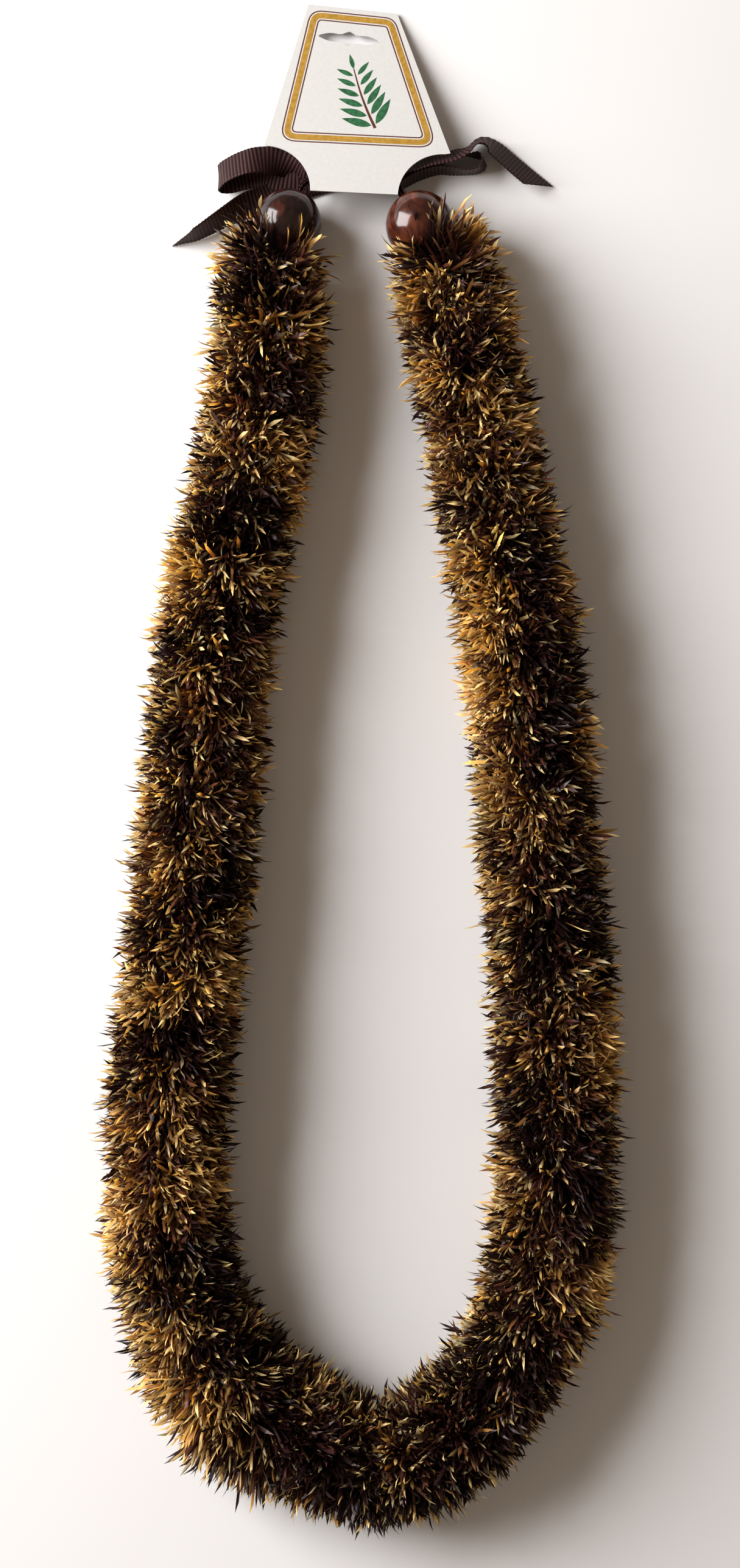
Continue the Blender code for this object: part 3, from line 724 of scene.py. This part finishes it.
CARD_FOOT = (-2.75 * MM, 205.35 * MM, 14.7 * MM)
CARD_TURN = -2.7
CARD_TILT = -11.4
KNOT_SIZE = (15 * MM, 9.5 * MM, 10.5 * MM)
KNOT_BEHIND_TAB = (-0.3 * MM, 8.6 * MM)
KNOT_CUTS = 35
KNOT_SQUARENESS = 3.2
KNOT_FULLNESS = 0.93
KNOT_PLEATS = 4.2
KNOT_PLEAT_SLANT = 0.5
KNOT_PLEAT_DEPTH = 0.09
KNOT_END_FALL = 0.06
KNOT_RIB = 0.012
card_plane = (Matrix.Translation(CARD_FOOT) @ Matrix.Rotation(math.radians(CARD_TURN), 4, "Z")
              @ Matrix.Rotation(math.radians(CARD_TILT), 4, "X"))


def knot_mesh():
    """The knot: a plump turn of ribbon with its wraps drawn in round the middle."""
    shape = bmesh.new()
    bmesh.ops.create_cube(shape, size=2)
    bmesh.ops.subdivide_edges(shape, edges=shape.edges[:], cuts=KNOT_CUTS, use_grid_fill=True)
    layer = shape.verts.layers.float.new("rib")
    for corner in shape.verts:
        power = sum(abs(value) ** KNOT_SQUARENESS for value in corner.co) ** (1 / KNOT_SQUARENESS)
        spot = corner.co / power
        turn = math.atan2(spot.z, spot.y)
        rib = math.cos(2 * math.pi * turn * KNOT_SIZE[1] / 2 / RIB_PITCH)
        pleat = abs(math.sin(KNOT_PLEATS * spot.x + KNOT_PLEAT_SLANT * math.sin(turn)))
        shrink = KNOT_FULLNESS - KNOT_PLEAT_DEPTH * (1 - pleat)
        shrink = shrink - KNOT_END_FALL * spot.x ** 2 + KNOT_RIB * rib
        corner.co = Vector((spot.x * KNOT_SIZE[0] / 2, spot.y * KNOT_SIZE[1] / 2 * shrink,
                            spot.z * KNOT_SIZE[2] / 2 * shrink))
        # The knot gets the same painted rib highlight and shade as the ribbon lengths.
        corner[layer] = 0.5 + 0.5 * rib
    place = card_plane @ Matrix.Translation((*KNOT_BEHIND_TAB, -SEAT_GAP - KNOT_SIZE[2] / 2))
    bmesh.ops.transform(shape, matrix=place, verts=shape.verts)
    mesh = bpy.data.meshes.new("ribbon_knot")
    shape.to_mesh(mesh)
    shape.free()
    mesh.shade_smooth()
    return mesh


ribbon_weave = grosgrain()
add_piece("ribbon_knot", knot_mesh(), ribbon_weave, "grosgrain", "ribbon_bow")
ribbon("loop_left", LEFT_LOOP)
ribbon("tail_left", LEFT_TAIL, end_cut=LEFT_END_CUT)
ribbon("loop_right", RIGHT_LOOP)
ribbon("tail_right", RIGHT_TAIL, end_cut=RIGHT_END_CUT)
ribbon_lead("lead_left", "bead_left", LEFT_LEAD_MM)
ribbon_lead("lead_right", "bead_right", RIGHT_LEAD_MM)


# The card is stiff white board, die cut with two round notches and a hanging slot. It leans on the
# knot.
CARD_THICKNESS = 0.5 * MM
TAB_HALF = 15.9
NOTCH_RADIUS = 16.6
NOTCH_STEPS = 24
WIDE_LEFT = (-33.3, 17)
WIDE_RIGHT = (34.3, 17)
TOP_LEFT = (-20.2, 73.3)
TOP_RIGHT = (12.6, 71.2)
SLOT_MIDDLE = (-4.6, 60.3)
SLOT_TURN = -3.5
SLOT_HALF = 11.3
SLOT_HEIGHT = 1.0
SLOT_LOBE = 0.8
SLOT_LOBE_PLACE = 6.6
SLOT_LOBE_WIDTH = 3.4
SLOT_BUMP = 1.9
SLOT_BUMP_WIDTH = 2.2
SLOT_STEPS = 28


def arc(middle, radius, first, last, steps):
    """Points on a circle from one angle to another, in degrees."""
    angles = [math.radians(first + (last - first) * step / steps) for step in range(steps + 1)]
    return [(middle[0] + radius * math.cos(angle), middle[1] + radius * math.sin(angle))
            for angle in angles]


def slot_outline():
    """A long hole with a round swelling in the middle, for a hook, and a lower one at each side."""
    points = []
    for side in (1, -1):
        for step in range(SLOT_STEPS):
            x = side * SLOT_HALF * math.cos(math.pi * step / SLOT_STEPS)
            ends = (1 - (x / SLOT_HALF) ** 4) ** 0.5
            bump = math.exp(-(x / SLOT_BUMP_WIDTH) ** 2)
            lobe = math.exp(-((abs(x) - SLOT_LOBE_PLACE) / SLOT_LOBE_WIDTH) ** 2)
            points.append((x, side * ends * (SLOT_HEIGHT + SLOT_LOBE * lobe + SLOT_BUMP * bump)))
    turn = math.radians(SLOT_TURN)
    return [(SLOT_MIDDLE[0] + x * math.cos(turn) - y * math.sin(turn),
             SLOT_MIDDLE[1] + x * math.sin(turn) + y * math.cos(turn)) for x, y in points]


def card_outline():
    """The card's edge, with its two round notches and the tab between them."""
    notch_x = TAB_HALF + NOTCH_RADIUS
    outline = arc((-notch_x, 0), NOTCH_RADIUS, 90, 0, NOTCH_STEPS)
    outline += arc((notch_x, 0), NOTCH_RADIUS, 180, 90, NOTCH_STEPS)
    return outline + [WIDE_RIGHT, TOP_RIGHT, TOP_LEFT, WIDE_LEFT]


def ring_of(shape, outline, height):
    """A closed loop of edges through an outline in mm."""
    corners = [shape.verts.new((x * MM, y * MM, height)) for x, y in outline]
    return [shape.edges.new(pair) for pair in zip(corners, corners[1:] + corners[:1])]


def board(name, outlines, low, high):
    """A flat sheet with thickness, bounded by its first outline and pierced by the others."""
    shape = bmesh.new()
    edges = [edge for outline in outlines for edge in ring_of(shape, outline, low)]
    bmesh.ops.triangle_fill(shape, edges=edges, use_beauty=True)
    raised = bmesh.ops.extrude_face_region(shape, geom=shape.faces[:])["geom"]
    top = [item for item in raised if isinstance(item, bmesh.types.BMVert)]
    bmesh.ops.translate(shape, vec=(0, 0, high - low), verts=top)
    bmesh.ops.recalc_face_normals(shape, faces=shape.faces)
    bmesh.ops.transform(shape, matrix=card_plane, verts=shape.verts)
    mesh = bpy.data.meshes.new(name)
    shape.to_mesh(mesh)
    shape.free()
    return mesh


def paper_material():
    """White board with a faint fibre and a warm cast."""
    material, tree, shader = new_material("white_board")
    place = tree.nodes.new("ShaderNodeTexCoord").outputs["Object"]
    fibre = tree.nodes.new("ShaderNodeTexNoise")
    fibre.inputs["Scale"].default_value = 900
    fibre.inputs["Detail"].default_value = 6
    tree.links.new(place, fibre.inputs["Vector"])
    tone = ramp(tree, fibre.outputs["Fac"], [(0.3, (0.59, 0.585, 0.57)), (0.7, (0.63, 0.625, 0.61))])
    tree.links.new(tone, shader.inputs["Base Color"])
    shader.inputs["Roughness"].default_value = 0.5
    bump = tree.nodes.new("ShaderNodeBump")
    bump.inputs["Strength"].default_value = 0.15
    bump.inputs["Distance"].default_value = 0.05 * MM
    tree.links.new(fibre.outputs["Fac"], bump.inputs["Height"])
    tree.links.new(bump.outputs["Normal"], shader.inputs["Normal"])
    return material


card_board = board("card_board", [card_outline(), slot_outline()], 0, CARD_THICKNESS)
add_piece("card_board", card_board, paper_material(), "paper", "card")


# The card's face is printed in three inks: a plain gold-brown frame between two thin brown lines,
# and a leafy sprig. Each ink lies on the board as a film of its own.
INK_SINK = 0.03 * MM
INK_RISE = 0.035 * MM
FRAME_INSET = 3.4
FRAME_BAND = 2.2
LINE_BAND = 0.45
LINE_GAP = 0.45
FRAME_CORNERS = [(-27.2, 19.6), (28.4, 19.6), (11.0, 68.6), (-18.6, 70.4)]
FRAME_BEND = 4.5
FRAME_BEND_STEPS = 8
STALK_MM = [(6.5, 25.5), (3.4, 32), (0.4, 39.5), (-2.4, 48.5)]
STALK_WIDTH = 0.9
STALK_STEPS = 6
STALK_SHARES = (1.2, 0.4)
LEAF_PAIRS = 6
LEAF_STEPS = 10
LEAF_LENGTHS = (11.5, 6)
LEAF_WIDTH_SHARE = 0.27
LEAF_FULLNESS = 0.8
LEAF_START = 0.35
LEAF_SPREAD = 52


def inset_frame(inset):
    """The frame's rounded outline, drawn in by an inset in mm."""
    middle = np.mean(FRAME_CORNERS, axis=0)
    corners = []
    for index, corner in enumerate(np.array(FRAME_CORNERS)):
        before = unit(np.array(FRAME_CORNERS[index - 1]) - corner)
        after = unit(np.array(FRAME_CORNERS[(index + 1) % 4]) - corner)
        half = math.acos(float(before @ after)) / 2
        into = unit(before + after)
        corner = corner + into * inset / math.sin(half)
        bend = FRAME_BEND - inset
        reach = bend / math.tan(half)
        first, last = corner + before * reach, corner + after * reach
        for step in range(FRAME_BEND_STEPS + 1):
            t = step / FRAME_BEND_STEPS
            corners.append(tuple((1 - t) ** 2 * first + 2 * t * (1 - t) * corner + t ** 2 * last))
    return corners


def leaf_outline(foot, heading, length):
    """A pointed leaf from its stalk, a little fuller towards its foot."""
    turn = math.radians(heading)
    points = []
    for side in (1, -1):
        for step in range(LEAF_STEPS):
            t = step / LEAF_STEPS
            t = t if side > 0 else 1 - t
            across = side * length * LEAF_WIDTH_SHARE / 2 * math.sin(math.pi * t ** LEAF_FULLNESS)
            points.append((foot[0] + length * t * math.cos(turn) - across * math.sin(turn),
                           foot[1] + length * t * math.sin(turn) + across * math.cos(turn)))
    return points


def ink_material(name, dark, light):
    """A printing ink with the slight mottle of a cheap press."""
    material, tree, shader = new_material(name)
    place = tree.nodes.new("ShaderNodeTexCoord").outputs["Object"]
    mottle = tree.nodes.new("ShaderNodeTexNoise")
    mottle.inputs["Scale"].default_value = 700
    mottle.inputs["Detail"].default_value = 4
    tree.links.new(place, mottle.inputs["Vector"])
    tone = ramp(tree, mottle.outputs["Fac"], [(0.35, dark), (0.65, light)])
    tree.links.new(tone, shader.inputs["Base Color"])
    shader.inputs["Roughness"].default_value = 0.45
    return material


ink_low, ink_high = CARD_THICKNESS - INK_SINK, CARD_THICKNESS + INK_RISE
gold_ink = ink_material("gold_ink", (0.34, 0.18, 0.02), (0.46, 0.26, 0.04))
brown_ink = ink_material("brown_ink", (0.07, 0.016, 0.012), (0.12, 0.03, 0.02))
inner_edge = FRAME_BAND + LINE_GAP
frame_bands = [
    ("card_frame", 0, FRAME_BAND, gold_ink),
    ("card_line_outer", -LINE_GAP - LINE_BAND, -LINE_GAP, brown_ink),
    ("card_line_inner", inner_edge, inner_edge + LINE_BAND, brown_ink),
]
for band_name, first, last, ink in frame_bands:
    band_board = board(band_name, [inset_frame(first), inset_frame(last)], ink_low, ink_high)
    add_piece(band_name, band_board, ink, "paper")

stalk = curve_through(STALK_MM, STALK_STEPS)
stalk_marks = marks_along(stalk)
stalk_run = unit(np.gradient(stalk, axis=0))
stalk_side = np.stack((-stalk_run[:, 1], stalk_run[:, 0]), axis=-1)
stalk_half = STALK_WIDTH / 2 * np.interp(stalk_marks, (0, stalk_marks[-1]), STALK_SHARES)[:, None]
stalk_outline = np.vstack((stalk + stalk_side * stalk_half, (stalk - stalk_side * stalk_half)[::-1]))
end_heading = math.degrees(math.atan2(stalk_run[-1][1], stalk_run[-1][0]))
leaf_outlines = [leaf_outline(stalk[-1], end_heading, LEAF_LENGTHS[1])]
for pair in range(LEAF_PAIRS):
    share = (pair + LEAF_START) / LEAF_PAIRS
    spot = read_along(np.array(share * stalk_marks[-1]), stalk_marks, stalk)
    ahead = read_along(np.array(share * stalk_marks[-1] + 0.5), stalk_marks, stalk)
    heading = math.degrees(math.atan2(ahead[1] - spot[1], ahead[0] - spot[0]))
    leaf_length = LEAF_LENGTHS[0] + (LEAF_LENGTHS[1] - LEAF_LENGTHS[0]) * share
    for side in (1, -1):
        turn = math.radians(heading + side * 90)
        leaf_foot = (spot[0] + STALK_WIDTH * math.cos(turn), spot[1] + STALK_WIDTH * math.sin(turn))
        leaf_outlines.append(leaf_outline(leaf_foot, heading + side * LEAF_SPREAD, leaf_length))
green_ink = ink_material("green_ink", (0.012, 0.075, 0.03), (0.03, 0.15, 0.06))
leaf_board = board("card_leaves", leaf_outlines, ink_low, ink_high)
add_piece("card_leaves", leaf_board, green_ink, "paper")
stalk_board = board("card_stalk", [stalk_outline.tolist()], ink_low, ink_high)
add_piece("card_stalk", stalk_board, brown_ink, "paper")


# The surface is a plain pale floor, and a tall window stands to its upper left. The room's warm
# bounce fills the shadows.
FLOOR_SIZE = 4
FLOOR_COLOUR = (0.82, 0.815, 0.83)
WINDOW_PLACE = (-1.25, 0.48, 0.74)
WINDOW_SIZE = (1.05, 1.15)
WINDOW_POWER = 58.5
WINDOW_COLOUR = (1.0, 0.99, 0.98)
ROOM_COLOUR = (1.0, 0.8, 0.62)
ROOM_STRENGTH = 0.23

surface = bmesh.new()
bmesh.ops.create_grid(surface, x_segments=1, y_segments=1, size=FLOOR_SIZE / 2)
floor_mesh = bpy.data.meshes.new("floor")
surface.to_mesh(floor_mesh)
surface.free()
floor = bpy.data.objects.new("floor", floor_mesh)
bpy.context.scene.collection.objects.link(floor)
floor_paint, _, floor_shader = new_material("pale_floor")
floor_shader.inputs["Base Color"].default_value = (*FLOOR_COLOUR, 1)
floor_shader.inputs["Roughness"].default_value = 0.6
floor_mesh.materials.append(floor_paint)

window_light = bpy.data.lights.new("window", "AREA")
window_light.shape = "RECTANGLE"
window_light.size = WINDOW_SIZE[0]
window_light.size_y = WINDOW_SIZE[1]
window_light.energy = WINDOW_POWER
window_light.color = WINDOW_COLOUR
window = bpy.data.objects.new("window", window_light)
window.location = WINDOW_PLACE
window.rotation_euler = (-Vector(WINDOW_PLACE)).to_track_quat("-Z", "Y").to_euler()
bpy.context.scene.collection.objects.link(window)

room = bpy.data.worlds.new("room")
room.use_nodes = True
room.node_tree.nodes["Background"].inputs["Color"].default_value = (*ROOM_COLOUR, 1)
room.node_tree.nodes["Background"].inputs["Strength"].default_value = ROOM_STRENGTH
bpy.context.scene.world = room
bpy.context.scene.view_settings.view_transform = "Standard"
